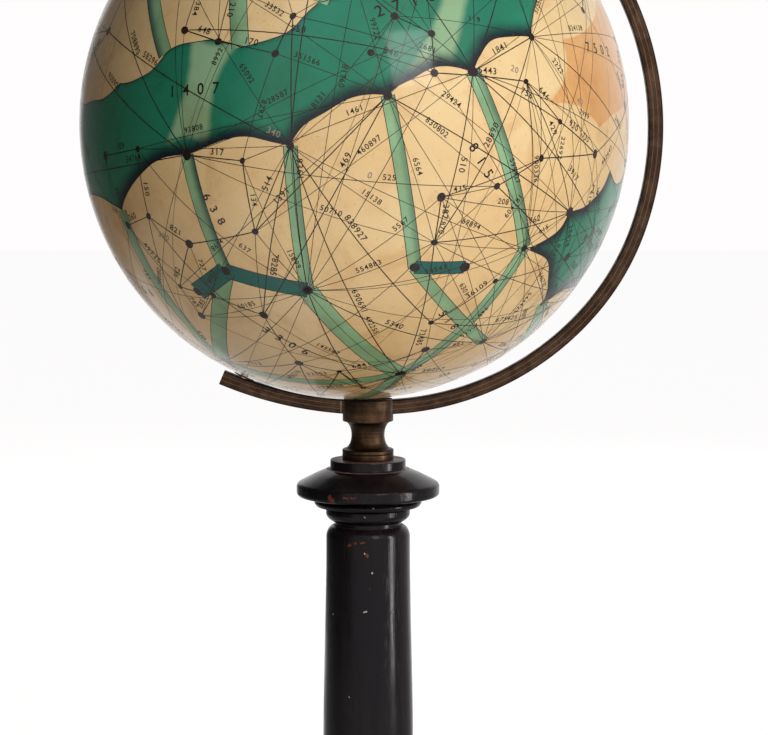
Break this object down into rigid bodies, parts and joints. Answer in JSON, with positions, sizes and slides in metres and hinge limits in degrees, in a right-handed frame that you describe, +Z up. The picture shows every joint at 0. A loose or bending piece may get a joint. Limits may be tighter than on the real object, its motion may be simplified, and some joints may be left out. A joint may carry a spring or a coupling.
{
  "type": "table globe",
  "caption": "Table globe: a paper-covered ball that turns on a leaning axis in a bent metal meridian arm, on a turned dark wood column and round foot.",
  "frame": {"origin": "middle of the underside of the round foot, on the column's axis, where the felt meets the table", "axes": "+Z up along the column; the meridian arm lies in the XZ plane, on the +X side of the globe; -Y is towards the viewer of the arm's front face"},
  "size_m": [0.2159, 0.203, 0.4585],
  "materials": {
    "ebonised_wood": "polished",
    "bronze": "dark bronzed, satin",
    "brass": "satin",
    "steel": "satin",
    "map_paper": "varnished",
    "plaster": "matte",
    "pasteboard": "matte",
    "beech": "bare",
    "leather": "plain",
    "felt": "matte"
  },
  "bodies": {
    "stand": {"foot_felt": "felt", "foot_plinth": "ebonised_wood", "foot_dome": "ebonised_wood", "foot_screw": "steel", "foot_screw_washer": "steel", "column_shaft": "ebonised_wood", "column_cap": "ebonised_wood", "socket_stud": "steel", "arm_socket": "bronze", "meridian_arm": "bronze", "arm_screw": "steel", "lower_pivot_pin": "steel", "lower_thrust_washer": "leather", "upper_pivot_screw": "brass", "upper_thrust_washer": "leather", "distance_collar": "brass"},
    "globe": {"lower_pole_bush": "brass", "upper_pole_bush": "brass", "axle_post": "beech", "lower_pole_block": "beech", "upper_pole_block": "beech", "pole_tacks": "steel", "joint_hoop": "pasteboard", "lower_hemisphere": "pasteboard", "upper_hemisphere": "pasteboard", "plaster_coat": "plaster", "map_gores": "map_paper", "polar_calottes": "map_paper"}
  },
  "joints": [
    {"name": "globe_spin", "type": "hinge", "parent": "stand", "child": "globe", "pos_m": [-0.0049, 0, 0.35087], "axis": [0.4067, 0, 0.9135], "continuous": true}
  ]
}
